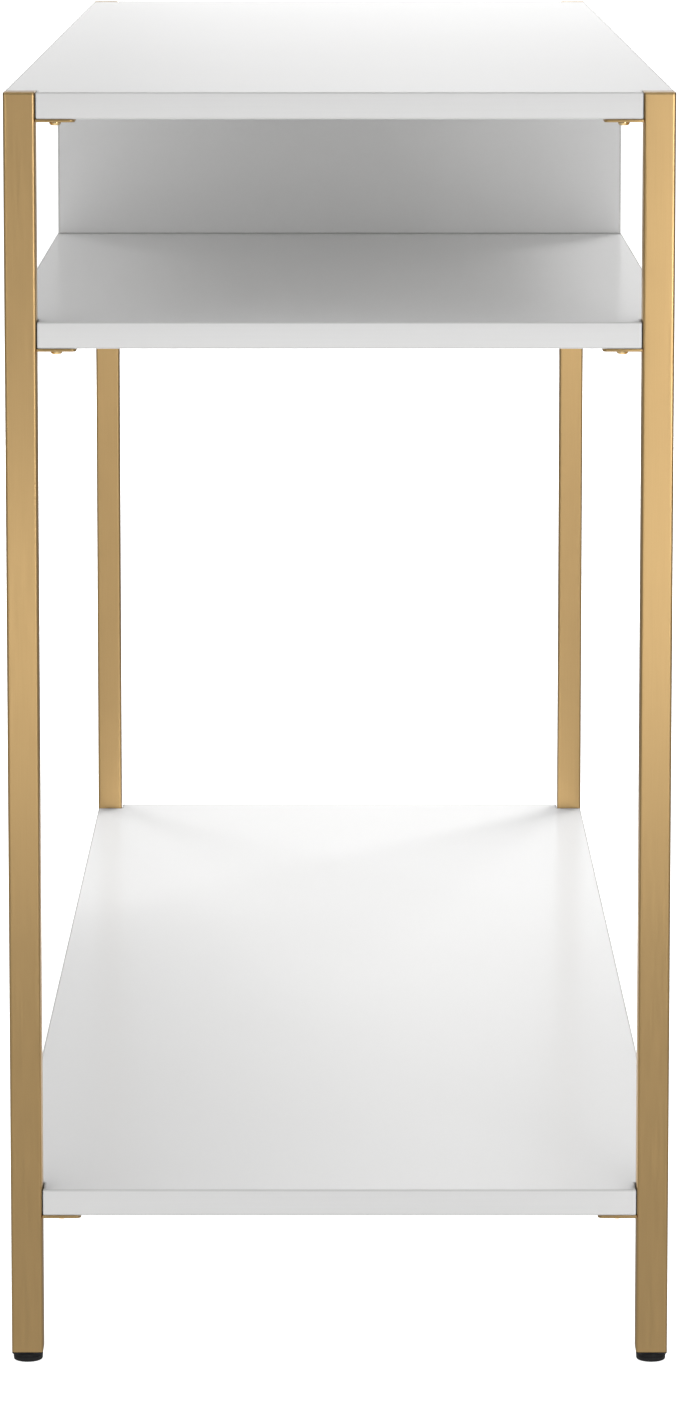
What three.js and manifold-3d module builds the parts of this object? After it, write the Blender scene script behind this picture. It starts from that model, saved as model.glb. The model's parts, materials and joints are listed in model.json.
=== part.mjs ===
// Console table: three notched boards and a centre divider between four square-tube legs that
// stand on screw-in levelling glides. Millimetres, +X along the table, -Y towards its front, +Z up.
// The origin is on the floor, under the centre of the top board.

import * as THREE from 'three';
import { mergeVertices } from 'three/addons/utils/BufferGeometryUtils.js';
import Module from 'manifold-3d';

const wasm = await Module();
wasm.setup();

// ---------- Driving dimensions ----------

const LENGTH = 1300;
const DEPTH = 400;
const HEIGHT = 775;

const BOARD_THICKNESS = 16;
const BOARD_EDGE_ROUND = 1;
const MIDDLE_SHELF_TOP = 638;
const LOWER_SHELF_TOP = 108;
const NOTCH_CLEARANCE = 0.5;
const DIVIDER_DEPTH = 398;

const TUBE_SIDE = 19;
const TUBE_WALL = 1.2;
const TUBE_CORNER_RADIUS = 1.6;
const TUBE_BOTTOM = 6.3;
const CAP_THICKNESS = 1.5;

const TAB_LENGTH = 23.7;
const TAB_WIDTH = 19;
const TAB_THICKNESS = 1.8;
const TAB_CORNER_RADIUS = 3;
const TAB_HOLE_RADIUS = 2.4;

const TAB_SCREW = {
  fromLeg: 11.6,
  fromEnd: 10.5,
  headRadius: 3.5,
  headHeight: 2.4,
  headSide: 0.8,
  crownRadius: 1.9,
  shankRadius: 2,
  shankLength: 14,
  tipChamfer: 0.6,
  recessLength: 3.8,
  recessWidth: 0.9,
  recessDepth: 1.2,
};

const DIVIDER_SCREW = {
  headRadius: 5,
  headHeight: 2,
  coneHeight: 1.5,
  neckRadius: 3.4,
  neckLength: 13,
  threadRadius: 2.5,
  threadLength: 34,
  tipChamfer: 1,
  recessDepth: 1.6,
  recessAcrossFlats: 4,
};

const DOWEL = { radius: 4, length: 30, chamfer: 0.8, inTopBoard: 10.5 };
const DIVIDER_FIXING_PITCH = 150;
const DIVIDER_FIXINGS = [
  { name: 'front', y: -DIVIDER_FIXING_PITCH },
  { name: 'middle', y: 0 },
  { name: 'back', y: DIVIDER_FIXING_PITCH },
];

const INSERT = { lipSide: 18.7, lipThickness: 0.8, cornerRadius: 1, coreLength: 20, boreRadius: 3.1 };
const STUD = { radius: 3, bottom: 1.6, length: 22, chamfer: 0.6 };
const PAD = {
  topRadius: 9.2,
  bottomRadius: 8.9,
  height: 5.2,
  edgeRadius: 1,
  topRound: 0.4,
  socketRadius: 3.1,
};

const FIT_GAP = 0.3;
const ROUND_SEGMENTS = 16;
const SCREW_SEGMENTS = 12;
const PAD_SEGMENTS = 28;
const ARC_SEGMENTS = 2;

const CORNERS = [
  { name: 'front_left', x: -1, y: -1 },
  { name: 'front_right', x: 1, y: -1 },
  { name: 'back_left', x: -1, y: 1 },
  { name: 'back_right', x: 1, y: 1 },
];

const LEVELS = {
  top: HEIGHT,
  middle: MIDDLE_SHELF_TOP,
  lower: LOWER_SHELF_TOP,
};

const DIVIDER_BOTTOM = MIDDLE_SHELF_TOP;
const DIVIDER_TOP = HEIGHT - BOARD_THICKNESS;

// ---------- Materials ----------

const MATERIALS = {
  board: new THREE.MeshStandardMaterial({ color: 0xf1f1ef, roughness: 0.45, metalness: 0 }),
  gold: new THREE.MeshStandardMaterial({ color: 0xc4a26c, roughness: 0.38, metalness: 0.8 }),
  brass: new THREE.MeshStandardMaterial({ color: 0xd8a95c, roughness: 0.22, metalness: 1 }),
  zinc: new THREE.MeshStandardMaterial({ color: 0xb4b7bb, roughness: 0.35, metalness: 1 }),
  black: new THREE.MeshStandardMaterial({ color: 0x252628, roughness: 0.5, metalness: 0 }),
  beech: new THREE.MeshStandardMaterial({ color: 0xcda477, roughness: 0.8, metalness: 0 }),
};

// ---------- Shape helpers ----------

function extruded(shape, height) {
  return new THREE.ExtrudeGeometry(shape, {
    depth: height,
    bevelEnabled: false,
    curveSegments: ARC_SEGMENTS,
  });
}

// A slab whose outer edges are all rounded, standing on z = 0.
function roundedSlab(shape, height, edge) {
  const geometry = new THREE.ExtrudeGeometry(shape, {
    depth: height - 2 * edge,
    bevelThickness: edge,
    bevelSize: edge,
    bevelOffset: -edge,
    bevelSegments: 2,
  });
  return geometry.translate(0, 0, edge);
}

// A solid of revolution about Z. The profile runs from the axis, up the outside, back to the axis.
function turned(profile, segments = ROUND_SEGMENTS) {
  const geometry = new THREE.LatheGeometry(profile.getPoints(ARC_SEGMENTS), segments);
  return geometry.rotateX(Math.PI / 2);
}

function rod(radius, bottom, top, segments = ROUND_SEGMENTS) {
  const geometry = new THREE.CylinderGeometry(radius, radius, top - bottom, segments);
  return geometry.rotateX(Math.PI / 2).translate(0, 0, (bottom + top) / 2);
}

function roundedRectangle(width, height, radius) {
  const x = width / 2 - radius;
  const y = height / 2 - radius;
  const quarter = Math.PI / 2;
  const shape = new THREE.Shape();
  shape.absarc(x, y, radius, 0, quarter);
  shape.absarc(-x, y, radius, quarter, 2 * quarter);
  shape.absarc(-x, -y, radius, 2 * quarter, 3 * quarter);
  shape.absarc(x, -y, radius, 3 * quarter, 4 * quarter);
  shape.closePath();
  return shape;
}

// ---------- Booleans ----------

function toSolid(geometry) {
  const bare = geometry.clone();
  bare.deleteAttribute('normal');
  bare.deleteAttribute('uv');
  const merged = mergeVertices(bare);
  const index = merged.index.array;
  const triangles = [];
  for (let i = 0; i < index.length; i += 3) {
    const [a, b, c] = [index[i], index[i + 1], index[i + 2]];
    if (a !== b && b !== c && c !== a) triangles.push(a, b, c);
  }
  return new wasm.Manifold(new wasm.Mesh({
    numProp: 3,
    vertProperties: new Float32Array(merged.attributes.position.array),
    triVerts: new Uint32Array(triangles),
  }));
}

function toGeometry(solid) {
  const mesh = solid.getMesh();
  const geometry = new THREE.BufferGeometry();
  geometry.setAttribute('position', new THREE.BufferAttribute(mesh.vertProperties, 3));
  geometry.setIndex(new THREE.BufferAttribute(mesh.triVerts, 1));
  geometry.computeVertexNormals();
  return geometry;
}

function cut(geometry, tools) {
  let solid = toSolid(geometry);
  for (const tool of tools) solid = solid.subtract(toSolid(tool));
  return toGeometry(solid);
}

function joined(first, second) {
  return toGeometry(toSolid(first).add(toSolid(second)));
}

// ---------- Assembly helpers ----------

const table = new THREE.Group();
const boards = new THREE.Group();
const frame = new THREE.Group();
const glides = new THREE.Group();
table.add(boards, frame, glides);

function addPiece(parent, name, geometry, material, x, y, z) {
  const mesh = new THREE.Mesh(geometry, material.clone());
  mesh.name = name;
  mesh.position.set(x, y, z);
  parent.add(mesh);
}

function legCentre(corner) {
  return {
    x: corner.x * (LENGTH / 2 - TUBE_SIDE / 2),
    y: corner.y * (DEPTH / 2 - TUBE_SIDE / 2),
  };
}

function tabScrewPlace(corner) {
  return {
    x: corner.x * (LENGTH / 2 - TAB_SCREW.fromEnd),
    y: corner.y * (DEPTH / 2 - TUBE_SIDE - TAB_SCREW.fromLeg),
  };
}

// ---------- Fasteners ----------

// Pan-head screw that points up, with its head's bearing face on z = 0.
function tabScrewGeometry() {
  const s = TAB_SCREW;
  const profile = new THREE.Path();
  profile.moveTo(0, -s.headHeight);
  profile.lineTo(s.crownRadius, -s.headHeight);
  profile.absellipse(
    s.crownRadius, -s.headSide,
    s.headRadius - s.crownRadius, s.headHeight - s.headSide,
    -Math.PI / 2, 0,
  );
  profile.lineTo(s.headRadius, 0);
  profile.lineTo(s.shankRadius, 0);
  profile.lineTo(s.shankRadius, s.shankLength - s.tipChamfer);
  profile.lineTo(s.shankRadius - s.tipChamfer, s.shankLength);
  profile.lineTo(0, s.shankLength);
  const floor = s.recessDepth - s.headHeight;
  const slot = new THREE.BoxGeometry(s.recessLength, s.recessWidth, 2 * s.recessDepth);
  slot.translate(0, 0, floor - s.recessDepth);
  const crossSlot = slot.clone().rotateZ(Math.PI / 2);
  return cut(turned(profile, SCREW_SEGMENTS), [slot, crossSlot]);
}

// Outline of the divider screw, grown by a gap where it serves as its own hole.
function dividerScrewProfile(gap) {
  const s = DIVIDER_SCREW;
  const coneTop = s.headHeight + s.coneHeight;
  const neckTop = coneTop + s.neckLength;
  const tip = neckTop + s.threadLength;
  const mouth = gap > 0 ? -s.headHeight : 0;
  const profile = new THREE.Path();
  profile.moveTo(0, mouth);
  profile.lineTo(s.headRadius + gap, mouth);
  profile.lineTo(s.headRadius + gap, s.headHeight + gap);
  profile.lineTo(s.neckRadius + gap, coneTop + gap);
  profile.lineTo(s.neckRadius + gap, neckTop + gap);
  profile.lineTo(s.threadRadius + gap, neckTop + gap);
  profile.lineTo(s.threadRadius + gap, tip - s.tipChamfer + gap);
  profile.lineTo(s.threadRadius - s.tipChamfer + gap, tip + gap);
  profile.lineTo(0, tip + gap);
  return profile;
}

// Confirmat screw that points up, with its head's outer face on z = 0.
function dividerScrewGeometry() {
  const s = DIVIDER_SCREW;
  const socketRadius = s.recessAcrossFlats / 2 / Math.cos(Math.PI / 6);
  const socket = rod(socketRadius, -s.recessDepth, s.recessDepth, 6);
  return cut(turned(dividerScrewProfile(0)), [socket]);
}

// Fluted dowels are left as plain chamfered rods.
function dowelGeometry() {
  const profile = new THREE.Path();
  profile.moveTo(0, 0);
  profile.lineTo(DOWEL.radius - DOWEL.chamfer, 0);
  profile.lineTo(DOWEL.radius, DOWEL.chamfer);
  profile.lineTo(DOWEL.radius, DOWEL.length - DOWEL.chamfer);
  profile.lineTo(DOWEL.radius - DOWEL.chamfer, DOWEL.length);
  profile.lineTo(0, DOWEL.length);
  return turned(profile);
}

const DOWEL_BOTTOM = DIVIDER_TOP + DOWEL.inTopBoard - DOWEL.length;
const DIVIDER_SCREW_BOTTOM = MIDDLE_SHELF_TOP - BOARD_THICKNESS;

function addFasteners() {
  const tabScrew = tabScrewGeometry();
  for (const [level, top] of Object.entries(LEVELS)) {
    const bearing = top - BOARD_THICKNESS - TAB_THICKNESS;
    for (const corner of CORNERS) {
      const { x, y } = tabScrewPlace(corner);
      addPiece(frame, `tab_screw_${level}_${corner.name}`, tabScrew, MATERIALS.brass, x, y, bearing);
    }
  }
  const dividerScrew = dividerScrewGeometry();
  const dowel = dowelGeometry();
  for (const { name, y } of DIVIDER_FIXINGS) {
    addPiece(boards, `divider_screw_${name}`, dividerScrew, MATERIALS.zinc, 0, y, DIVIDER_SCREW_BOTTOM);
    addPiece(boards, `divider_dowel_${name}`, dowel, MATERIALS.beech, 0, y, DOWEL_BOTTOM);
  }
}

// ---------- Boards ----------

// The corners are notched round the legs: counter-clockwise, three points at each corner.
function boardOutline() {
  const x = LENGTH / 2;
  const y = DEPTH / 2;
  const notch = TUBE_SIDE + NOTCH_CLEARANCE;
  const points = [];
  for (const [sideX, sideY] of [[1, 1], [-1, 1], [-1, -1], [1, -1]]) {
    const end = new THREE.Vector2(sideX * x, sideY * (y - notch));
    const inner = new THREE.Vector2(sideX * (x - notch), sideY * (y - notch));
    const side = new THREE.Vector2(sideX * (x - notch), sideY * y);
    points.push(...(sideX === sideY ? [end, inner, side] : [side, inner, end]));
  }
  return new THREE.Shape(points);
}

function tabScrewHoles() {
  const depth = TAB_SCREW.shankLength - TAB_THICKNESS + FIT_GAP;
  const holes = [];
  for (const corner of CORNERS) {
    const { x, y } = tabScrewPlace(corner);
    holes.push(rod(TAB_SCREW.shankRadius + FIT_GAP, -FIT_GAP, depth).translate(x, y, 0));
  }
  return holes;
}

// Holes for the dowels, in a frame whose z = 0 is at the given height.
function dowelHoles(zero) {
  const bottom = DOWEL_BOTTOM - FIT_GAP - zero;
  const top = DOWEL_BOTTOM + DOWEL.length + FIT_GAP - zero;
  return DIVIDER_FIXINGS.map(({ y }) => rod(DOWEL.radius + FIT_GAP, bottom, top).translate(0, y, 0));
}

function dividerScrewHoles(zero) {
  return DIVIDER_FIXINGS.map(({ y }) => {
    const hole = turned(dividerScrewProfile(FIT_GAP));
    return hole.translate(0, y, DIVIDER_SCREW_BOTTOM - zero);
  });
}

function addBoards() {
  const holes = {
    top: dowelHoles(HEIGHT - BOARD_THICKNESS),
    middle: dividerScrewHoles(DIVIDER_SCREW_BOTTOM),
    lower: [],
  };
  const names = { top: 'top_board', middle: 'middle_shelf', lower: 'lower_shelf' };
  const blank = roundedSlab(boardOutline(), BOARD_THICKNESS, BOARD_EDGE_ROUND);
  for (const [level, top] of Object.entries(LEVELS)) {
    const board = cut(blank, [...tabScrewHoles(), ...holes[level]]);
    addPiece(boards, names[level], board, MATERIALS.board, 0, 0, top - BOARD_THICKNESS);
  }
}

// The divider stands across the table at mid-length, between the middle shelf and the top board.
function addDivider() {
  const height = DIVIDER_TOP - DIVIDER_BOTTOM;
  const slab = new THREE.BoxGeometry(BOARD_THICKNESS, DIVIDER_DEPTH, height);
  slab.translate(0, 0, height / 2);
  const holes = [...dowelHoles(DIVIDER_BOTTOM), ...dividerScrewHoles(DIVIDER_BOTTOM)];
  addPiece(boards, 'centre_divider', cut(slab, holes), MATERIALS.board, 0, 0, DIVIDER_BOTTOM);
}

// ---------- Legs ----------

function tubeGeometry() {
  const shape = roundedRectangle(TUBE_SIDE, TUBE_SIDE, TUBE_CORNER_RADIUS);
  const inside = TUBE_SIDE - 2 * TUBE_WALL;
  shape.holes.push(roundedRectangle(inside, inside, TUBE_CORNER_RADIUS - TUBE_WALL));
  return extruded(shape, HEIGHT - CAP_THICKNESS - TUBE_BOTTOM);
}

// Plate welded to a leg's inner side, under a board; its long side runs away from the leg.
function tabGeometry(corner) {
  const reach = TAB_LENGTH - TAB_CORNER_RADIUS;
  const x = TAB_WIDTH / 2;
  const shape = new THREE.Shape();
  shape.moveTo(-x, 0);
  shape.lineTo(x, 0);
  shape.lineTo(x, reach);
  shape.absarc(x - TAB_CORNER_RADIUS, reach, TAB_CORNER_RADIUS, 0, Math.PI / 2);
  shape.absarc(TAB_CORNER_RADIUS - x, reach, TAB_CORNER_RADIUS, Math.PI / 2, Math.PI);
  shape.closePath();
  const inward = -corner.y;
  const holeX = inward * corner.x * (TAB_WIDTH / 2 - TAB_SCREW.fromEnd);
  const plate = extruded(shape, TAB_THICKNESS);
  const hole = rod(TAB_HOLE_RADIUS, -TAB_THICKNESS, 2 * TAB_THICKNESS);
  const drilled = cut(plate, [hole.translate(holeX, TAB_SCREW.fromLeg, 0)]);
  return drilled.rotateZ(inward > 0 ? 0 : Math.PI);
}

function addLegs() {
  const tube = tubeGeometry();
  const capShape = roundedRectangle(TUBE_SIDE, TUBE_SIDE, TUBE_CORNER_RADIUS);
  const cap = extruded(capShape, CAP_THICKNESS);
  for (const corner of CORNERS) {
    const { x, y } = legCentre(corner);
    addPiece(frame, `leg_${corner.name}`, tube, MATERIALS.gold, x, y, TUBE_BOTTOM);
    addPiece(frame, `leg_cap_${corner.name}`, cap, MATERIALS.gold, x, y, HEIGHT - CAP_THICKNESS);
    const tab = tabGeometry(corner);
    const legInside = corner.y * (DEPTH / 2 - TUBE_SIDE);
    for (const [level, top] of Object.entries(LEVELS)) {
      const z = top - BOARD_THICKNESS - TAB_THICKNESS;
      addPiece(frame, `tab_${level}_${corner.name}`, tab, MATERIALS.gold, x, legInside, z);
    }
  }
}

// ---------- Levelling glides ----------

// Threaded plug in the tube's open end: a square core with a thin lip under the tube's edge.
function insertGeometry() {
  const coreSide = TUBE_SIDE - 2 * (TUBE_WALL + FIT_GAP);
  const lipShape = roundedRectangle(INSERT.lipSide, INSERT.lipSide, INSERT.cornerRadius);
  const coreShape = roundedRectangle(coreSide, coreSide, INSERT.cornerRadius);
  const lip = extruded(lipShape, INSERT.lipThickness).translate(0, 0, -INSERT.lipThickness);
  const core = extruded(coreShape, INSERT.coreLength);
  const bore = rod(INSERT.boreRadius, -2 * INSERT.lipThickness, INSERT.coreLength + INSERT.lipThickness);
  return cut(joined(lip, core), [bore]);
}

function studGeometry() {
  const profile = new THREE.Path();
  profile.moveTo(0, 0);
  profile.lineTo(STUD.radius, 0);
  profile.lineTo(STUD.radius, STUD.length - STUD.chamfer);
  profile.lineTo(STUD.radius - STUD.chamfer, STUD.length);
  profile.lineTo(0, STUD.length);
  return turned(profile);
}

// Tapered disc with a flat base, a rounded bottom edge and a socket for the stud's end.
function padGeometry() {
  const socketFloor = STUD.bottom - FIT_GAP;
  const profile = new THREE.Path();
  profile.moveTo(0, 0);
  profile.lineTo(PAD.bottomRadius - PAD.edgeRadius, 0);
  profile.absarc(PAD.bottomRadius - PAD.edgeRadius, PAD.edgeRadius, PAD.edgeRadius, -Math.PI / 2, 0);
  profile.lineTo(PAD.topRadius, PAD.height - PAD.topRound);
  profile.lineTo(PAD.topRadius - PAD.topRound, PAD.height);
  profile.lineTo(PAD.socketRadius, PAD.height);
  profile.lineTo(PAD.socketRadius, socketFloor);
  profile.lineTo(0, socketFloor);
  return turned(profile, PAD_SEGMENTS);
}

function addGlides() {
  const insert = insertGeometry();
  const stud = studGeometry();
  const pad = padGeometry();
  for (const corner of CORNERS) {
    const { x, y } = legCentre(corner);
    addPiece(frame, `foot_insert_${corner.name}`, insert, MATERIALS.black, x, y, TUBE_BOTTOM);
    addPiece(glides, `glide_stud_${corner.name}`, stud, MATERIALS.zinc, x, y, STUD.bottom);
    addPiece(glides, `glide_pad_${corner.name}`, pad, MATERIALS.black, x, y, 0);
  }
}

addBoards();
addDivider();
addLegs();
addFasteners();
addGlides();

export default table;
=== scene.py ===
"""Console table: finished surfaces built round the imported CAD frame. Metres, +X along the table, +Z up."""

import json
import math

import bmesh
import bpy
from mathutils import Matrix, Quaternion, Vector

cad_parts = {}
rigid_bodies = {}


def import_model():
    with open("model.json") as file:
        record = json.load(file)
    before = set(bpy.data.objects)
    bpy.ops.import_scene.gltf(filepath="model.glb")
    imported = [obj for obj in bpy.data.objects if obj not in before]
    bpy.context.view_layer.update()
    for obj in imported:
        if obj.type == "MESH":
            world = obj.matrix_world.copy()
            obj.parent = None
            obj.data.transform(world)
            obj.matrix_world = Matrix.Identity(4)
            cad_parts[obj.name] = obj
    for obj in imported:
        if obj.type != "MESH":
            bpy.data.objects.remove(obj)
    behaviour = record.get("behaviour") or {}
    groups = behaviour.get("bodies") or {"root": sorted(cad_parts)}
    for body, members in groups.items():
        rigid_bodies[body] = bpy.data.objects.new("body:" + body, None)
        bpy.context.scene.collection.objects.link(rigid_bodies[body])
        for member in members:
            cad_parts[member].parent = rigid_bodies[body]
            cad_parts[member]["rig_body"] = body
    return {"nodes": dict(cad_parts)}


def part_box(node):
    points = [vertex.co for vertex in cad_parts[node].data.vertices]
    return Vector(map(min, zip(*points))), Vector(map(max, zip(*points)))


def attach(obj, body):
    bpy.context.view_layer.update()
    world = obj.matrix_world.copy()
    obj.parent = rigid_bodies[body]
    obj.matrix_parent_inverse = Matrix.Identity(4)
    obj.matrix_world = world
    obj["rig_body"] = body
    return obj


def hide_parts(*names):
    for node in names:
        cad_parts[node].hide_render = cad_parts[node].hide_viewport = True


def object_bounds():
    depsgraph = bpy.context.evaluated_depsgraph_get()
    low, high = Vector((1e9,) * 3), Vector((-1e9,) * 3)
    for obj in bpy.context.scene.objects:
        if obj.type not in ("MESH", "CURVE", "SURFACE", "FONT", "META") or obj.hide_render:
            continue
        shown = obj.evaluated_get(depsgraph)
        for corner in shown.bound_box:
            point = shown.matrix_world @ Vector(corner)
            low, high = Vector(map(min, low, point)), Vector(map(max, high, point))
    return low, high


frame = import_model()
CAD_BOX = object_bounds()
NODES = frame["nodes"]
MM = 0.001
TAU = 2 * math.pi

# ---------- Camera ----------

CAMERA_DISTANCE = 3.4055  # from the table's right end
CAMERA_HEIGHT = 0.9706
CAMERA_PITCH = 0.12743  # radians below the horizon
CAMERA_LENS = 147.13  # millimetres, on a 36 mm sensor
CAMERA_SHIFT = -0.1474


def add_camera():
    """The camera looks along the table's length from its right end, a little down."""
    data = bpy.data.cameras.new("camera")
    data.lens = CAMERA_LENS
    data.shift_y = CAMERA_SHIFT
    data.clip_end = 60
    camera = bpy.data.objects.new("camera", data)
    bpy.context.scene.collection.objects.link(camera)
    camera.location = (CAD_BOX[1].x + CAMERA_DISTANCE, 0, CAMERA_HEIGHT)
    camera.rotation_euler = (math.pi / 2 - CAMERA_PITCH, 0, math.pi / 2)
    bpy.context.scene.camera = camera


# ---------- Shader nodes ----------


class Material:
    """A Principled material whose colour, roughness and bump come from procedural nodes."""

    def __init__(self, name, **fixed):
        self.data = bpy.data.materials.new(name)
        self.data.use_nodes = True
        self.tree = self.data.node_tree
        self.shader = self.tree.nodes["Principled BSDF"]
        for socket, value in fixed.items():
            self.shader.inputs[socket.replace("_", " ")].default_value = value
        self.place = self.node("ShaderNodeTexCoord").outputs["Object"]
        self.bumps = []

    def node(self, kind, **settings):
        made = self.tree.nodes.new(kind)
        for key, value in settings.items():
            setattr(made, key, value)
        return made

    def link(self, source, target):
        self.tree.links.new(source, target)

    def stretched(self, scale):
        """Object coordinates scaled along X, Y and Z."""
        mapping = self.node("ShaderNodeMapping")
        mapping.inputs["Scale"].default_value = scale
        self.link(self.place, mapping.inputs["Vector"])
        return mapping.outputs["Vector"]

    def noise(self, scale, detail=3.0, stretch=None, distortion=0.0):
        """Noise whose scale counts features in each metre."""
        made = self.node("ShaderNodeTexNoise")
        made.inputs["Scale"].default_value = scale
        made.inputs["Detail"].default_value = detail
        made.inputs["Distortion"].default_value = distortion
        self.link(self.stretched(stretch) if stretch else self.place, made.inputs["Vector"])
        return made.outputs["Fac"]

    def ranged(self, value, low, high, start=0.3, end=0.7):
        """Maps a pattern's start..end onto low..high."""
        made = self.node("ShaderNodeMapRange")
        made.inputs["From Min"].default_value = start
        made.inputs["From Max"].default_value = end
        made.inputs["To Min"].default_value = low
        made.inputs["To Max"].default_value = high
        self.link(value, made.inputs["Value"])
        return made.outputs["Result"]

    def mixed(self, factor, first, second):
        """A colour between two: each is a colour or another node's output."""
        made = self.node("ShaderNodeMix", data_type="RGBA")
        self.link(factor, made.inputs["Factor"])
        for index, colour in ((6, first), (7, second)):
            if isinstance(colour, bpy.types.NodeSocket):
                self.link(colour, made.inputs[index])
            else:
                made.inputs[index].default_value = (*colour, 1)
        return made.outputs[2]

    def colour(self, value):
        self.link(value, self.shader.inputs["Base Color"])

    def roughness(self, value):
        self.link(value, self.shader.inputs["Roughness"])

    def bump(self, height, distance, strength=1.0):
        """Adds a relief of that height in metres on top of the ones before it."""
        made = self.node("ShaderNodeBump")
        made.inputs["Distance"].default_value = distance
        made.inputs["Strength"].default_value = strength
        self.link(height, made.inputs["Height"])
        if self.bumps:
            self.link(self.bumps[-1].outputs["Normal"], made.inputs["Normal"])
        self.bumps.append(made)
        self.link(made.outputs["Normal"], self.shader.inputs["Normal"])


# ---------- Materials ----------


def laminate_material():
    """White melamine face: a slow mottle and a fine pearl grain under a thin clear coat."""
    coat = {"Coat_Weight": 0.12, "Coat_Roughness": 0.2, "Coat_IOR": 1.4}
    m = Material("white_laminate", Specular_IOR_Level=0.0, **coat)
    mottle = m.ranged(m.noise(2.6, 4), 0, 1)
    speck = m.ranged(m.noise(420, 2), 0, 1, 0.35, 0.75)
    base = m.mixed(mottle, (0.868, 0.866, 0.861), (0.878, 0.877, 0.874))
    m.colour(m.mixed(m.ranged(speck, 0, 0.10, 0, 1), base, (0.81, 0.81, 0.80)))
    m.roughness(m.ranged(m.noise(9, 5, (1, 6, 1), 0.4), 0.215, 0.255))
    m.bump(m.noise(160, 2), 0.003 * MM, 0.3)
    return m.data


def edge_band_material():
    """The ironed-on band on a board's narrow faces: smoother, with a faint grain along it."""
    m = Material("white_edge_band", Specular_IOR_Level=0.45)
    run = m.noise(30, 3, (0.3, 0.3, 22))
    m.colour(m.mixed(m.ranged(run, 0, 1), (0.858, 0.856, 0.850), (0.870, 0.869, 0.864)))
    m.roughness(m.ranged(run, 0.30, 0.36))
    m.bump(run, 0.008 * MM, 0.3)
    return m.data


def band_seam_material():
    """A darker hairline between the band and the board's face."""
    m = Material("band_seam")
    m.colour(m.mixed(m.ranged(m.noise(160, 3), 0, 1), (0.60, 0.59, 0.57), (0.70, 0.69, 0.67)))
    m.roughness(m.ranged(m.noise(90, 2), 0.5, 0.7))
    return m.data


def shaded_band_rim_material():
    """The rounded-over rim of the band, a shade darker and duller than its face: the darker colour is
    painted shade for the dark reflection along the rounding.
    """
    m = Material("white_band_rim_painted_shade", Specular_IOR_Level=0.3)
    run = m.noise(8, 2)
    # Painted shade: the rim's colour is set darker than the band's to stand in for its dark reflection.
    m.colour(m.mixed(m.ranged(run, 0, 1), (0.72, 0.72, 0.71), (0.75, 0.75, 0.74)))
    m.roughness(m.ranged(run, 0.44, 0.52))
    return m.data


def shaded(colour, shade):
    """The colour with every channel multiplied by shade."""
    return tuple(channel * shade for channel in colour)


def gold_material(name="satin_gold", shade=1.0):
    """Satin gold coating: fine lengthwise brushing under it, a slow colour drift and faint orange peel."""
    m = Material(name, Metallic=1.0)
    drift = m.ranged(m.noise(7, 3), 0, 1)
    brush = m.noise(1500, 4, (1, 1, 0.02))
    # With shade below 1 every colour here is darkened: a shaded copy of the gold, painted shade.
    tone = m.mixed(drift, shaded((0.785, 0.528, 0.240), shade), shaded((0.815, 0.548, 0.247), shade))
    m.colour(m.mixed(m.ranged(brush, 0, 0.10), tone, shaded((0.62, 0.40, 0.17), shade)))
    m.roughness(m.ranged(brush, 0.28, 0.38))
    m.bump(brush, 0.006 * MM, 0.35)
    m.bump(m.noise(650, 2), 0.010 * MM, 0.25)
    return m.data


def brass_material():
    m = Material("bright_brass", Metallic=1.0)
    m.colour(m.mixed(m.ranged(m.noise(300, 3), 0, 1), (0.84, 0.62, 0.30), (0.90, 0.68, 0.36)))
    m.roughness(m.ranged(m.noise(900, 3, (1, 1, 3)), 0.09, 0.18))
    m.bump(m.noise(2200, 2), 0.004 * MM, 0.4)
    return m.data


def black_plastic_material():
    """Moulded black plastic with a fine spark-eroded grain."""
    m = Material("black_plastic", Specular_IOR_Level=0.3)
    m.colour(m.mixed(m.ranged(m.noise(260, 3), 0, 1), (0.009, 0.009, 0.010), (0.014, 0.014, 0.015)))
    m.roughness(m.ranged(m.noise(700, 3), 0.40, 0.55))
    m.bump(m.noise(3200, 2), 0.012 * MM, 0.5)
    return m.data


def zinc_material():
    m = Material("zinc_plate", Metallic=1.0)
    m.colour(m.mixed(m.ranged(m.noise(180, 4), 0, 1), (0.56, 0.57, 0.60), (0.68, 0.69, 0.70)))
    m.roughness(m.ranged(m.noise(500, 3), 0.28, 0.42))
    m.bump(m.noise(1800, 2), 0.004 * MM, 0.4)
    return m.data


def beech_material():
    m = Material("beech")
    grain = m.noise(260, 5, (1, 1, 0.06), 0.6)
    m.colour(m.mixed(m.ranged(grain, 0, 1), (0.50, 0.32, 0.18), (0.68, 0.49, 0.31)))
    m.roughness(m.ranged(grain, 0.60, 0.78))
    m.bump(grain, 0.03 * MM, 0.5)
    return m.data


LAMINATE = laminate_material()
EDGE_BAND = edge_band_material()
SEAM = band_seam_material()
# Painted shade: the band's rounded rim is coloured darker than the band itself.
SHADED_BAND_RIM = shaded_band_rim_material()
GOLD = gold_material()
# Painted shade: the tabs and leg caps get the satin gold darkened to 0.72, standing in for the shade under
# the boards and the dark reflection on the caps.
SHADED_GOLD = gold_material("satin_gold_painted_shade", 0.72)
BRASS = brass_material()
BLACK = black_plastic_material()
ZINC = zinc_material()
BEECH = beech_material()

# ---------- Mesh building ----------

SHARP_ANGLE = math.radians(38)
TIGHTEST_CORNER = 0.05 * MM


def mesh_from(name, bm, *materials):
    """Closes a bmesh: outward faces, smooth shading broken at sharp edges."""
    bmesh.ops.recalc_face_normals(bm, faces=bm.faces)
    for face in bm.faces:
        face.smooth = True
    for edge in bm.edges:
        edge.smooth = edge.calc_face_angle(0) < SHARP_ANGLE
    mesh = bpy.data.meshes.new(name)
    bm.to_mesh(mesh)
    bm.free()
    for material in materials:
        mesh.materials.append(material)
    return mesh


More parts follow.
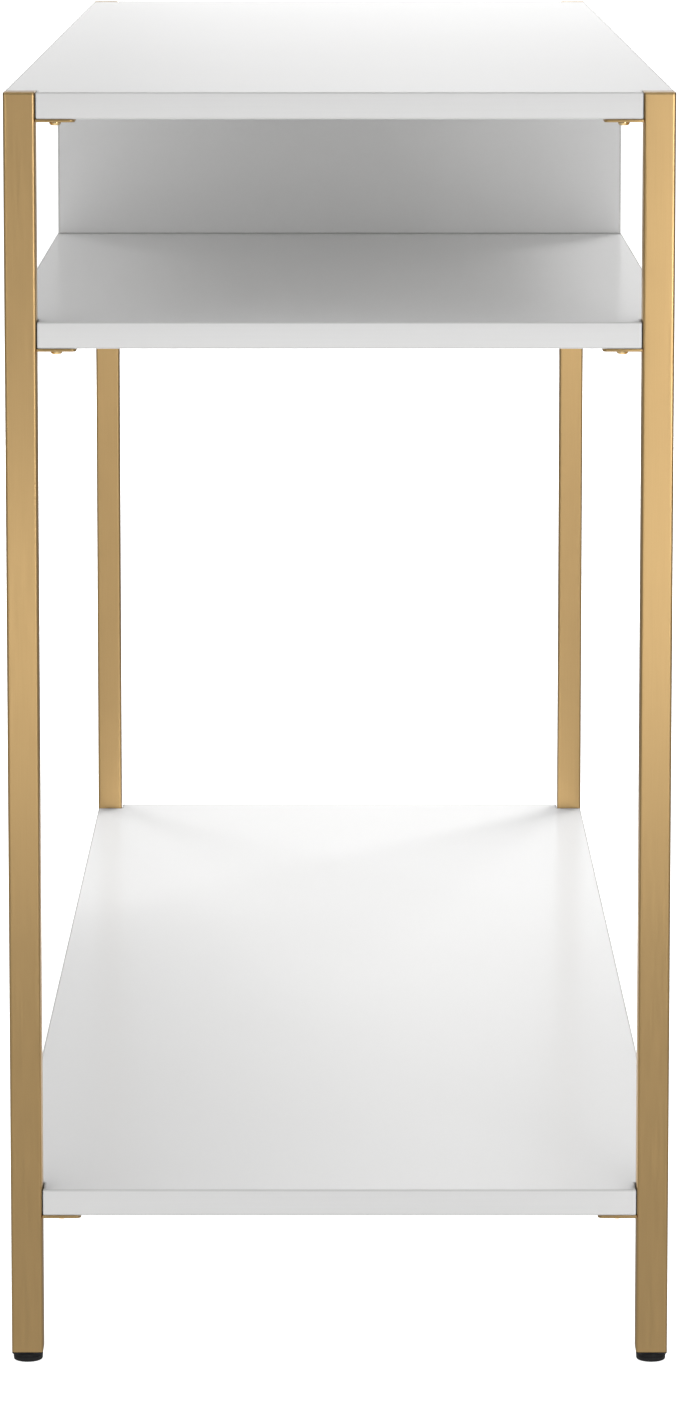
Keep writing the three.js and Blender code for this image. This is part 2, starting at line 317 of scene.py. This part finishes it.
def loft(rings, closed=False, bands=None):
    """A bmesh skin over rings of equal length. It is capped at both ends, or closed on itself.
    bands gives the material index of each strip between rings."""
    bm = bmesh.new()
    loops = [[bm.verts.new(p) for p in ring] for ring in rings]
    pairs = list(zip(loops, loops[1:] + loops[:1] if closed else loops[1:]))
    for index, (low, high) in enumerate(pairs):
        for k in range(len(low)):
            nxt = (k + 1) % len(low)
            face = bm.faces.new((low[k], low[nxt], high[nxt], high[k]))
            face.material_index = bands[index] if bands else 0
    if not closed:
        bm.faces.new(loops[0][::-1])
        bm.faces.new(loops[-1])
    return bm


def outline(corners, radius, inset=0.0, steps=4, support=0.0):
    """Points of a right-angled, counter-clockwise outline with rounded corners, moved inwards by inset.
    radius is one length, or one for each corner. A support point on each side of every corner keeps the
    flats flat under smooth shading."""
    radii = radius if isinstance(radius, (list, tuple)) else [radius] * len(corners)
    points = []
    for i, corner in enumerate(corners):
        here = Vector(corner)
        along_in = (here - Vector(corners[i - 1])).normalized()
        along_out = (Vector(corners[(i + 1) % len(corners)]) - here).normalized()
        normal_in = Vector((-along_in.y, along_in.x))
        normal_out = Vector((-along_out.y, along_out.x))
        turn = 1 if along_in.cross(along_out) > 0 else -1
        bend = max(radii[i], inset + TIGHTEST_CORNER) if turn > 0 else radii[i]
        centre = here + turn * bend * (normal_in + normal_out)
        reach = bend - turn * inset
        arc = []
        for k in range(steps + 1):
            angle = k / steps * math.pi / 2
            out = math.cos(angle) * normal_in + math.sin(angle) * normal_out
            arc.append(centre - turn * reach * out)
        if support:
            arc = [arc[0] - support * along_in, *arc, arc[-1] + support * along_out]
        points.extend(arc)
    return points


def square(side):
    h = side / 2
    return [(h, h), (-h, h), (-h, -h), (h, -h)]


def at_height(points, z):
    return [(p[0], p[1], z) for p in points]


def edge_profile(height, edge, steps=4):
    """Inset and height pairs up the side of a slab whose rims are rounded by edge."""
    quarter = [k / steps * math.pi / 2 for k in range(steps + 1)]
    low = [(edge * (1 - math.sin(a)), edge * (1 - math.cos(a))) for a in quarter]
    return low + [(inset, height - z) for inset, z in reversed(low)]


def circle_points(radius, count, start=0.0):
    return [(radius * math.cos(start + TAU * k / count), radius * math.sin(start + TAU * k / count))
            for k in range(count)]


def lathe(profile, count=48, closed=False):
    """Rings of a solid of revolution about Z from (radius, height) pairs."""
    return loft([at_height(circle_points(r, count), z) for r, z in profile], closed)


def arc_profile(centre_r, centre_z, radius_r, radius_z, start, end, steps):
    """Points of an elliptical arc in the (radius, height) plane; angles in degrees."""
    angles = [math.radians(start + (end - start) * k / steps) for k in range(steps + 1)]
    return [(centre_r + radius_r * math.cos(a), centre_z + radius_z * math.sin(a)) for a in angles]


def cut_mesh(mesh, cutters, *materials):
    """The mesh less its cutters, both given as bmeshes."""
    scene = bpy.context.scene.collection
    body = bpy.data.objects.new("cut_body", mesh_from("cut_body", mesh, *materials))
    scene.objects.link(body)
    tools = []
    for cutter in cutters:
        tool = bpy.data.objects.new("cut_tool", mesh_from("cut_tool", cutter))
        scene.objects.link(tool)
        tools.append(tool)
        modifier = body.modifiers.new("cut", "BOOLEAN")
        modifier.operation = "DIFFERENCE"
        modifier.solver = "EXACT"
        modifier.object = tool
    depsgraph = bpy.context.evaluated_depsgraph_get()
    result = bpy.data.meshes.new_from_object(body.evaluated_get(depsgraph))
    for made in [body, *tools]:
        bpy.data.objects.remove(made)
    bm = bmesh.new()
    bm.from_mesh(result)
    bmesh.ops.remove_doubles(bm, verts=bm.verts, dist=1e-7)
    return mesh_from("cut", bm, *materials)


def place(node, mesh, where):
    """The finished piece that stands for a CAD node, on that node's body."""
    piece = bpy.data.objects.new(f"{node}_finished", mesh)
    bpy.context.scene.collection.objects.link(piece)
    piece.location = where
    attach(piece, NODES[node]["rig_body"])
    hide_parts(node)
    return piece


def named(prefix):
    """CAD nodes whose names start so, in order."""
    return sorted(n for n in NODES if n.startswith(prefix))


def middle(node):
    low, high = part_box(node)
    return (low + high) / 2


def size_of(node):
    low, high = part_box(node)
    return high - low


def stand(node, mesh):
    """Places a piece whose own origin is the middle of its base."""
    low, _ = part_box(node)
    centre = middle(node)
    return place(node, mesh, Vector((centre.x, centre.y, low.z)))


# ---------- Boards ----------

BOARD_RIM = 1.0 * MM
BOARD_CORNER = 0.9 * MM
NOTCH_GAP = 0.5 * MM
SEAM_WIDTH = 0.35 * MM
FACE_SUPPORT = 0.6 * MM


def board_corners(size, notch):
    """The outline of a board with a square notch at each corner, counter-clockwise."""
    x, y = size.x / 2, size.y / 2
    corners = []
    for side_x, side_y in ((1, 1), (-1, 1), (-1, -1), (1, -1)):
        end = (side_x * x, side_y * (y - notch))
        inner = (side_x * (x - notch), side_y * (y - notch))
        side = (side_x * (x - notch), side_y * y)
        corners += [end, inner, side] if side_x == side_y else [side, inner, end]
    return corners


def board_mesh(name, corners, height):
    """A slab with rounded rims: laminate on its faces, a band round its edge, a hairline between."""
    steps = 4
    seam = BOARD_RIM + SEAM_WIDTH
    inner = seam + FACE_SUPPORT
    profile = [(inner, 0), (seam, 0), *edge_profile(height, BOARD_RIM, steps)]
    profile += [(seam, height), (inner, height)]
    face, band, hairline, rim = range(4)
    # The rim strips take the darkened rim material: painted shade along the rounding.
    strips = [face, hairline] + [rim] * steps + [band] + [rim] * steps + [hairline, face]
    rings = [at_height(outline(corners, BOARD_CORNER, inset, 3, FACE_SUPPORT), z) for inset, z in profile]
    return mesh_from(name, loft(rings, bands=strips), LAMINATE, EDGE_BAND, SEAM, SHADED_BAND_RIM)


def add_boards():
    notch = size_of("leg_front_left").x + NOTCH_GAP
    for node in ("top_board", "middle_shelf", "lower_shelf"):
        low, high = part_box(node)
        mesh = board_mesh(node, board_corners(high - low, notch), high.z - low.z)
        place(node, mesh, Vector((0, 0, low.z)))


# Turns a board lying in X and Y so that it stands in Y and Z, with its thickness along X.
UPRIGHT = Matrix(((0, 0, 1, 0), (1, 0, 0, 0), (0, 1, 0, 0), (0, 0, 0, 1)))


def add_divider():
    low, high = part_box("centre_divider")
    width, height = (high.y - low.y) / 2, high.z - low.z
    corners = [(width, height), (-width, height), (-width, 0), (width, 0)]
    mesh = board_mesh("centre_divider", corners, high.x - low.x)
    mesh.transform(UPRIGHT)
    place("centre_divider", mesh, low * Vector((1, 0, 1)))


# ---------- Legs ----------

TUBE_CORNER = 1.6 * MM
TUBE_WALL = 1.2 * MM
TUBE_RIM = 0.25 * MM
CAP_RIM = 0.7 * MM
FLAT_SUPPORT = 0.5 * MM


def tube_mesh(side, height):
    """A hollow square tube with rounded corners, its bottom outer edge deburred."""
    inside = side - 2 * TUBE_WALL
    inner_radius = TUBE_CORNER - TUBE_WALL

    def ring(width, radius, inset, z):
        return at_height(outline(square(width), radius, inset, 6, FLAT_SUPPORT), z)

    rings = [
        ring(side, TUBE_CORNER, TUBE_RIM, 0),
        ring(side, TUBE_CORNER, 0, TUBE_RIM),
        ring(side, TUBE_CORNER, 0, 2 * TUBE_RIM),
        ring(side, TUBE_CORNER, 0, height),
        ring(inside, inner_radius, 0, height),
        ring(inside, inner_radius, 0, 0),
    ]
    return mesh_from("leg_tube", loft(rings, closed=True), GOLD)


def cap_mesh(side, height):
    rings = [at_height(outline(square(side), TUBE_CORNER, 0, 6, FLAT_SUPPORT), 0)]
    steps = 4
    for k in range(steps + 1):
        angle = k / steps * math.pi / 2
        inset = CAP_RIM * (1 - math.cos(angle))
        z = height - CAP_RIM * (1 - math.sin(angle))
        rings.append(at_height(outline(square(side), TUBE_CORNER, inset, 6, FLAT_SUPPORT), z))
    inset = CAP_RIM + FLAT_SUPPORT
    rings.append(at_height(outline(square(side), TUBE_CORNER, inset, 6, FLAT_SUPPORT), height))
    # The cap takes the darkened gold: painted shade for its dark top and rim.
    return mesh_from("leg_cap", loft(rings), SHADED_GOLD)


def add_legs():
    tubes = [n for n in named("leg_") if not n.startswith("leg_cap")]
    size = size_of(tubes[0])
    tube = tube_mesh(size.x, size.z)
    for node in tubes:
        stand(node, tube)
    caps = named("leg_cap")
    size = size_of(caps[0])
    cap = cap_mesh(size.x, size.z)
    for node in caps:
        stand(node, cap)


# ---------- Tabs and their screws ----------

TAB_CORNER = 3.0 * MM
TAB_RIM = 0.3 * MM
TAB_HOLE = 2.4 * MM
HEAD_RADIUS = 3.5 * MM
HEAD_HEIGHT = 2.4 * MM
HEAD_SIDE = 0.8 * MM
CROWN_RADIUS = 1.9 * MM
M4_RADIUS = 2.0 * MM
M4_ROOT = 1.55 * MM
M4_PITCH = 0.7 * MM
M4_POINT = 0.4 * MM
HEAD_BREAK = 0.1 * MM
CROSS_DEPTH = 1.5 * MM
CROSS_REACH = 1.9 * MM
CROSS_WIDTH = 0.42 * MM


def tab_mesh(size, free_side, hole):
    """A plate whose two free corners are rounded, with its screw hole."""
    x, y = size.x / 2, size.y / 2
    square_corner = TAB_RIM * 1.5
    radii = [TAB_CORNER if side == free_side else square_corner for side in (1, 1, -1, -1)]
    corners = [(x, y), (-x, y), (-x, -y), (x, -y)]
    profile = edge_profile(size.z, TAB_RIM, 2)
    rings = [at_height(outline(corners, radii, inset, 6), z) for inset, z in profile]
    drill = lathe([(TAB_HOLE, -size.z), (TAB_HOLE, 2 * size.z)], 32)
    bmesh.ops.translate(drill, vec=(hole.x, hole.y, 0), verts=drill.verts)
    # The tab takes the darkened gold: painted shade for the shade under the board.
    return cut_mesh(loft(rings), [drill], SHADED_GOLD)


def threaded_rings(major, root, pitch, start, end, count=24, steps=8, taper=1.0):
    """Rings of a screw thread: the radius rises and falls once in each pitch round the helix."""
    turns = (end - start) / pitch
    rings = []
    total = max(2, round(turns * steps))
    for i in range(total + 1):
        z = start + (end - start) * i / total
        fade = min(1.0, (end - z) / (taper * pitch), (z - start) / (taper * pitch))
        ring = []
        for k in range(count):
            phase = ((z - start) / pitch - k / count) % 1.0
            crest = min(1.0, 1.35 * (1 - abs(2 * phase - 1)))
            radius = root + (major - root) * crest * max(0.0, fade)
            ring.append((radius * math.cos(TAU * k / count), radius * math.sin(TAU * k / count), z))
        rings.append(ring)
    return rings


def cross_recess(depth, reach, width):
    """Two tapered blades crossed, for a cross-head driver, pointing up from z = 0."""
    blades = []
    for turned in (False, True):
        rings = []
        for z, share in ((-0.4 * MM, 1.12), (depth, 0.55)):
            half_long, half_wide = reach * share, width * share
            if turned:
                half_long, half_wide = half_wide, half_long
            rings.append([(half_long, half_wide, z), (-half_long, half_wide, z),
                          (-half_long, -half_wide, z), (half_long, -half_wide, z)])
        blades.append(loft(rings))
    return blades


def tab_screw_mesh(length):
    """Pan-head machine screw that points up from z = 0, with its crown at the bottom."""
    count = 32
    crown = arc_profile(CROWN_RADIUS, HEAD_HEIGHT - HEAD_SIDE, HEAD_RADIUS - CROWN_RADIUS,
                        HEAD_HEIGHT - HEAD_SIDE, -90, 0, 6)
    head = [*crown, (HEAD_RADIUS, HEAD_HEIGHT - HEAD_BREAK), (HEAD_RADIUS - HEAD_BREAK, HEAD_HEIGHT)]
    head += [(M4_RADIUS, HEAD_HEIGHT), (M4_ROOT, HEAD_HEIGHT + 0.5 * MM)]
    rings = [at_height(circle_points(r, count), z) for r, z in head]
    tip = length - 0.5 * MM
    rings += threaded_rings(M4_RADIUS, M4_ROOT, M4_PITCH, HEAD_HEIGHT + 0.6 * MM, tip, count)
    rings.append(at_height(circle_points(M4_ROOT - M4_POINT, count), length))
    recess = cross_recess(CROSS_DEPTH, CROSS_REACH, CROSS_WIDTH)
    return cut_mesh(loft(rings), recess, BRASS)


def add_tabs():
    for node in [n for n in named("tab_") if not n.startswith("tab_screw")]:
        centre = middle(node)
        screw = middle(node.replace("tab_", "tab_screw_", 1))
        free_side = -1 if centre.y > 0 else 1
        stand(node, tab_mesh(size_of(node), free_side, screw - centre))


def add_tab_screws():
    nodes = named("tab_screw_")
    mesh = tab_screw_mesh(size_of(nodes[0]).z)
    for node in nodes:
        stand(node, mesh)


# ---------- Divider fixings ----------

SCREW_HEAD = 5.0 * MM
SCREW_NECK = 3.4 * MM
SCREW_THREAD = 2.5 * MM
SCREW_ROOT = 1.7 * MM
SCREW_PITCH = 3.0 * MM
SCREW_HEAD_TOP = 2.0 * MM
SCREW_CONE_TOP = 3.5 * MM
SCREW_NECK_TOP = 16.5 * MM
SCREW_TIP = 1.5 * MM
SCREW_TIP_RADIUS = 0.5 * MM
SOCKET_RADIUS = 2.3 * MM
SOCKET_DEPTH = 1.9 * MM


def divider_screw_mesh(length):
    """Confirmat screw: a countersunk head with a hexagon socket, a plain neck and a coarse thread."""
    profile = [(SCREW_HEAD - 0.2 * MM, 0), (SCREW_HEAD, 0.2 * MM), (SCREW_HEAD, SCREW_HEAD_TOP),
               (SCREW_NECK, SCREW_CONE_TOP), (SCREW_NECK, SCREW_NECK_TOP),
               (SCREW_ROOT, SCREW_NECK_TOP + 0.1 * MM)]
    rings = [at_height(circle_points(r, 32), z) for r, z in profile]
    start = SCREW_NECK_TOP + 0.2 * MM
    rings += threaded_rings(SCREW_THREAD, SCREW_ROOT, SCREW_PITCH, start, length - SCREW_TIP, 32, 12)
    rings.append(at_height(circle_points(SCREW_TIP_RADIUS, 32), length))
    socket = lathe([(SOCKET_RADIUS, -0.5 * MM), (SOCKET_RADIUS, SOCKET_DEPTH)], 6)
    return cut_mesh(loft(rings), [socket], ZINC)


def dowel_mesh(radius, length):
    """Fluted beech dowel with chamfered ends."""
    count, flutes, flute_depth, chamfer = 96, 16, 0.35 * MM, 0.9 * MM

    def ring(shrink, z):
        points = []
        for k in range(count):
            angle = TAU * k / count
            wave = 0.5 - 0.5 * math.cos(flutes * angle)
            reach = radius - shrink - flute_depth * wave ** 3
            points.append((reach * math.cos(angle), reach * math.sin(angle), z))
        return points

    rings = [ring(chamfer, 0), ring(0, chamfer), ring(0, length - chamfer), ring(chamfer, length)]
    return mesh_from("dowel", loft(rings), BEECH)


def add_divider_fixings():
    screws = named("divider_screw")
    screw = divider_screw_mesh(size_of(screws[0]).z)
    for node in screws:
        stand(node, screw)
    dowels = named("divider_dowel")
    size = size_of(dowels[0])
    dowel = dowel_mesh(size.x / 2, size.z)
    for node in dowels:
        stand(node, dowel)


# ---------- Feet ----------

BORE = 3.1 * MM
LIP_CORNER = 1.0 * MM
STUD_ROOT = 2.5 * MM
STUD_PITCH = 1.0 * MM
STUD_CHAMFER = 0.6 * MM
STUD_SHANK = 3.4 * MM  # plain length, mostly inside the pad
FIT_GAP = 0.3 * MM
PAD_TAPER = 0.30 * MM
PAD_EDGE = 1.0 * MM
PAD_RIM = 0.45 * MM
PAD_SOLE_MARGIN = 1.2 * MM
GROOVE_SHARE = 0.62  # of the pad's height
GROOVE_DEPTH = 0.22 * MM
GROOVE_MOUTH = 0.35 * MM
GROOVE_FLOOR = 0.2 * MM


def insert_mesh(lip_side, height, lip_height, core_side):
    """Threaded plug: a thin lip, and a core with gripping ribs that fills the tube."""
    steps = 6
    count = 4 * (steps + 1)

    def ring(side, inset, z):
        return at_height(outline(square(side), LIP_CORNER, inset, steps), z)

    def bore(z):
        return at_height(circle_points(BORE, count, math.radians(6)), z)

    rings = [bore(0), ring(lip_side, 0.12 * MM, 0), ring(lip_side, 0, 0.12 * MM)]
    rings += [ring(lip_side, 0, lip_height), ring(core_side, 0.2 * MM, lip_height)]
    ribs = 7
    pitch = (height - lip_height) / ribs
    for k in range(ribs):
        base = lip_height + k * pitch
        rings += [ring(core_side, 0.6 * MM, base + 0.25 * pitch), ring(core_side, 0, base + 0.55 * pitch)]
        rings.append(ring(core_side, 0, base + 0.8 * pitch))
    rings += [ring(core_side, 0.6 * MM, height), bore(height)]
    return mesh_from("foot_insert", loft(rings, closed=True), BLACK)


def pad_mesh(top_radius, height, socket_floor):
    """Levelling glide's pad: a tapered disc, its rim rounded, with a grip groove and a stud socket."""
    bottom = top_radius - PAD_TAPER
    foot = bottom - PAD_EDGE
    profile = [(foot - PAD_SOLE_MARGIN, 0), *arc_profile(foot, PAD_EDGE, PAD_EDGE, PAD_EDGE, -90, 0, 6)]
    groove = GROOVE_SHARE * height
    taper = PAD_TAPER / height

    def side(z, depth=0.0):
        return (bottom + taper * z - depth, z)

    profile += [side(groove - GROOVE_MOUTH), side(groove - GROOVE_FLOOR, GROOVE_DEPTH),
                side(groove + GROOVE_FLOOR, GROOVE_DEPTH), side(groove + GROOVE_MOUTH)]
    profile += arc_profile(top_radius - PAD_RIM, height - PAD_RIM, PAD_RIM, PAD_RIM, 0, 90, 4)
    profile += [(BORE + 0.2 * MM, height), (BORE, height - 0.2 * MM), (BORE, socket_floor)]
    return mesh_from("glide_pad", lathe(profile, 72), BLACK)


def stud_mesh(radius, length):
    """M6 stud: a plain shank at the bottom, a thread above it and chamfered ends."""
    tip = radius - STUD_CHAMFER
    profile = [(tip, 0), (radius, STUD_CHAMFER), (radius, STUD_SHANK)]
    rings = [at_height(circle_points(r, 32), z) for r, z in profile]
    start = STUD_SHANK + 0.2 * MM
    rings += threaded_rings(radius, STUD_ROOT, STUD_PITCH, start, length - STUD_CHAMFER, 32)
    rings.append(at_height(circle_points(tip, 32), length))
    return mesh_from("glide_stud", loft(rings), ZINC)


def add_feet():
    tube_low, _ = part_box("leg_front_left")
    core_side = size_of("leg_front_left").x - 2 * (TUBE_WALL + FIT_GAP)
    for node in named("foot_insert"):
        low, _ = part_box(node)
        size = size_of(node)
        mesh = insert_mesh(size.x, size.z, tube_low.z - low.z, core_side)
        stand(node, mesh)
    for node in named("glide_stud"):
        size = size_of(node)
        stand(node, stud_mesh(size.x / 2, size.z))
    for node in named("glide_pad"):
        low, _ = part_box(node)
        stud_low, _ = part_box(node.replace("pad", "stud"))
        size = size_of(node)
        mesh = pad_mesh(size.x / 2, size.z, stud_low.z - low.z - FIT_GAP)
        stand(node, mesh)


# ---------- Studio ----------

FLOOR_HALF = 20.0
FLOOR_GLOW = 0.20
FLOOR_GLOW_TO_CAMERA = 0.90

# Radiance of the white room seen along each axis; it fades with the square of the cosine.
ROOM = (("X", 1, 0.24), ("X", -1, 0.15), ("Y", 1, 0.20), ("Y", -1, 0.20), ("Z", 1, 0.84), ("Z", -1, 1.60))

# Name, place, aimed at, width and height, radiance, whether glossy surfaces reflect it, and any roll.
SOFTBOXES = (
    ("key", (-5.0, 2.2, 2.7), (0, 1.1, 1.0), (2.2, 1.8), 2.2, False),
    ("key_high", (-4.0, 2.0, 4.0), (0, 0.5, 0.6), (1.8, 1.4), 13.0, False),
    ("key_left", (-4.0, -2.0, 3.2), (0, 0, 0.4), (1.4, 1.2), 8.0, False),
    ("back_high", (-5.0, 0, 2.7), (0, 0, 1.0), (2.2, 1.8), 4.0, False),
    ("back_low", (-5.3, 0, 1.0), (0, 0, 1.0), (2.4, 1.7), 1.4, True),
    ("back_diamond", (-5.0, 0.2, 1.03), (0, 0.1, 0.9), (0.8, 0.8), 1.9, True, math.pi / 4),
    ("front_left", (6.0, -2.2, 0.95), (0, -0.66, 0.6), (2.0, 0.9), 2.3, True),
    ("front_right", (6.0, 2.2, 0.95), (0, 0.66, 0.6), (2.0, 0.9), 4.0, True),
    ("near_low", (1.65, 0, 0.30), (0.65, 0, 0.30), (1.0, 0.2), 0.91, True),
    ("near_right", (1.55, 0.55, 0.60), (0.65, 0.19, 0.60), (0.35, 0.25), 3.87, True),
)


def add_floor():
    """A plain white floor that glows a little, as a white sweep lit from below does."""
    h = FLOOR_HALF
    mesh = bpy.data.meshes.new("floor")
    mesh.from_pydata([(-h, -h, 0), (h, -h, 0), (h, h, 0), (-h, h, 0)], [], [(0, 1, 2, 3)])
    floor = bpy.data.objects.new("floor", mesh)
    bpy.context.scene.collection.objects.link(floor)
    material = bpy.data.materials.new("floor")
    material.use_nodes = True
    tree = material.node_tree
    tree.nodes.clear()
    diffuse = tree.nodes.new("ShaderNodeBsdfDiffuse")
    diffuse.inputs["Color"].default_value = (0.92, 0.92, 0.92, 1)
    rays = tree.nodes.new("ShaderNodeLightPath")
    strength = tree.nodes.new("ShaderNodeMapRange")
    strength.inputs["To Min"].default_value = FLOOR_GLOW
    strength.inputs["To Max"].default_value = FLOOR_GLOW_TO_CAMERA
    glow = tree.nodes.new("ShaderNodeEmission")
    total = tree.nodes.new("ShaderNodeAddShader")
    output = tree.nodes.new("ShaderNodeOutputMaterial")
    tree.links.new(rays.outputs["Is Camera Ray"], strength.inputs["Value"])
    tree.links.new(strength.outputs["Result"], glow.inputs["Strength"])
    tree.links.new(diffuse.outputs[0], total.inputs[0])
    tree.links.new(glow.outputs[0], total.inputs[1])
    tree.links.new(total.outputs[0], output.inputs["Surface"])
    mesh.materials.append(material)
    floor.visible_glossy = False


def add_softbox(name, where, target, size, radiance, in_gloss, roll=0.0):
    """An area light, unseen by the camera, whose power gives its face that radiance."""
    data = bpy.data.lights.new(name, "AREA")
    data.shape = "RECTANGLE"
    data.size, data.size_y = size
    data.energy = math.pi * size[0] * size[1] * radiance
    light = bpy.data.objects.new(name, data)
    bpy.context.scene.collection.objects.link(light)
    light.location = where
    aim = (Vector(target) - Vector(where)).to_track_quat("-Z", "Y")
    light.rotation_euler = (aim @ Quaternion((0, 0, 1), roll)).to_euler()
    light.visible_camera = False
    light.visible_glossy = in_gloss


def add_world():
    """Plain soft light, stronger from some sides than others; the background itself is white."""
    world = bpy.data.worlds.new("studio")
    world.use_nodes = True
    bpy.context.scene.world = world
    tree = world.node_tree
    tree.nodes.clear()

    def calculated(operation, first, second):
        made = tree.nodes.new("ShaderNodeMath")
        made.operation = operation
        for socket, value in zip(made.inputs, (first, second)):
            if isinstance(value, bpy.types.NodeSocket):
                tree.links.new(value, socket)
            else:
                socket.default_value = value
        return made.outputs["Value"]

    direction = tree.nodes.new("ShaderNodeSeparateXYZ")
    tree.links.new(tree.nodes.new("ShaderNodeTexCoord").outputs["Generated"], direction.inputs[0])
    strength = 0.0
    for axis, side, radiance in ROOM:
        towards = calculated("MAXIMUM", calculated("MULTIPLY", direction.outputs[axis], side), 0.0)
        share = calculated("MULTIPLY", calculated("POWER", towards, 2.0), radiance)
        strength = calculated("ADD", share, strength)
    light = tree.nodes.new("ShaderNodeBackground")
    light.inputs["Color"].default_value = (1, 1, 1, 1)
    tree.links.new(strength, light.inputs["Strength"])
    backdrop = tree.nodes.new("ShaderNodeBackground")
    backdrop.inputs["Color"].default_value = (1, 1, 1, 1)
    rays = tree.nodes.new("ShaderNodeLightPath")
    mix = tree.nodes.new("ShaderNodeMixShader")
    output = tree.nodes.new("ShaderNodeOutputWorld")
    tree.links.new(rays.outputs["Is Camera Ray"], mix.inputs["Fac"])
    tree.links.new(light.outputs[0], mix.inputs[1])
    tree.links.new(backdrop.outputs[0], mix.inputs[2])
    tree.links.new(mix.outputs[0], output.inputs["Surface"])


add_camera()
add_boards()
add_divider()
add_legs()
add_tabs()
add_tab_screws()
add_divider_fixings()
add_feet()
add_floor()
add_world()
for softbox in SOFTBOXES:
    add_softbox(*softbox)

bpy.context.scene.view_settings.view_transform = "Standard"
bpy.context.scene.cycles.caustics_reflective = False
bpy.context.scene.cycles.caustics_refractive = False
bpy.context.scene.cycles.sample_clamp_indirect = 2.0
